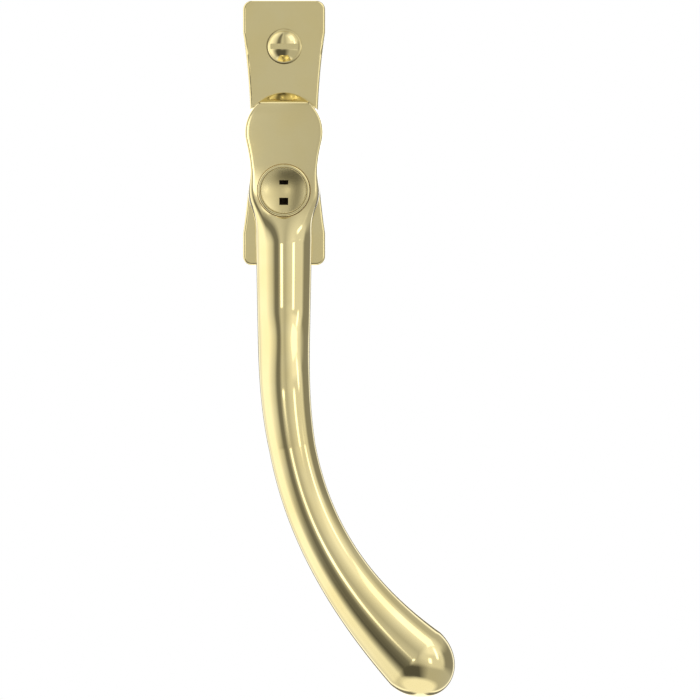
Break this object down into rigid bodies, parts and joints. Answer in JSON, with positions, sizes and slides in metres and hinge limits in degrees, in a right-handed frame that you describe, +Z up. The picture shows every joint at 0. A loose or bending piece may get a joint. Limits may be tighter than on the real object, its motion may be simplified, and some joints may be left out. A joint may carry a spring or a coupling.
{
  "type": "window handle",
  "caption": "Key-locking casement window handle: bulb-ended lever swept to the right on a waisted backplate, push-button lock in the head, square spindle behind.",
  "frame": {"origin": "where the spindle's axis meets the backplate's mounting face", "axes": "+X to the right as seen from the room, +Y into the window along the spindle, +Z up along the backplate; the lever hangs down at rest"},
  "size_m": [0.0526, 0.0576, 0.173],
  "materials": {
    "polished_gold": "mirror-polished gold plate under clear lacquer",
    "lock_brass": "machined, unplated",
    "hard_steel": "ground and hardened",
    "spring_steel": "drawn wire or strip, oiled",
    "zinc_steel": "bright zinc plate",
    "nylon": "natural moulded nylon"
  },
  "bodies": {
    "base": {"backplate": "polished_gold", "screw_upper": "polished_gold", "screw_lower": "polished_gold", "lock_bush": "hard_steel", "bearing_washer": "nylon", "disc_spring": "spring_steel"},
    "handle": {"lever": "polished_gold", "spindle": "zinc_steel", "spindle_pin": "hard_steel", "stop_disc": "zinc_steel", "circlip": "spring_steel", "detent_ball_left": "hard_steel", "detent_ball_right": "hard_steel", "detent_spring_left": "spring_steel", "detent_spring_right": "spring_steel", "lock_barrel": "lock_brass", "barrel_ring": "lock_brass", "return_spring": "spring_steel"},
    "button": {"lock_button": "polished_gold", "locking_pin": "hard_steel", "plug_clip": "spring_steel"},
    "plug": {"key_plug": "polished_gold", "plug_cam": "lock_brass"},
    "latch": {"latch_wafer": "lock_brass"}
  },
  "joints": [
    {"name": "lever_turn", "type": "hinge", "parent": "base", "child": "handle", "pos_m": [0, 0, 0], "axis": [0, -1, 0], "range_deg": [0, 90]},
    {"name": "lock_push", "type": "slide", "parent": "handle", "child": "button", "axis": [0, 1, 0], "range_m": [0, 0.003], "stiffness_N_per_m": 300, "springref_m": -0.002, "deforming": ["return_spring"]},
    {"name": "key_turn", "type": "hinge", "parent": "button", "child": "plug", "pos_m": [0, 0, -0.0145], "axis": [0, -1, 0], "range_deg": [0, 90]},
    {"name": "wafer_slide", "type": "slide", "parent": "button", "child": "latch", "axis": [1, 0, 0], "range_m": [0, 0.0006]}
  ],
  "couplings": [
    {"joint": "wafer_slide", "follows": "key_turn", "m_per_rad": 0.00038197}
  ]
}
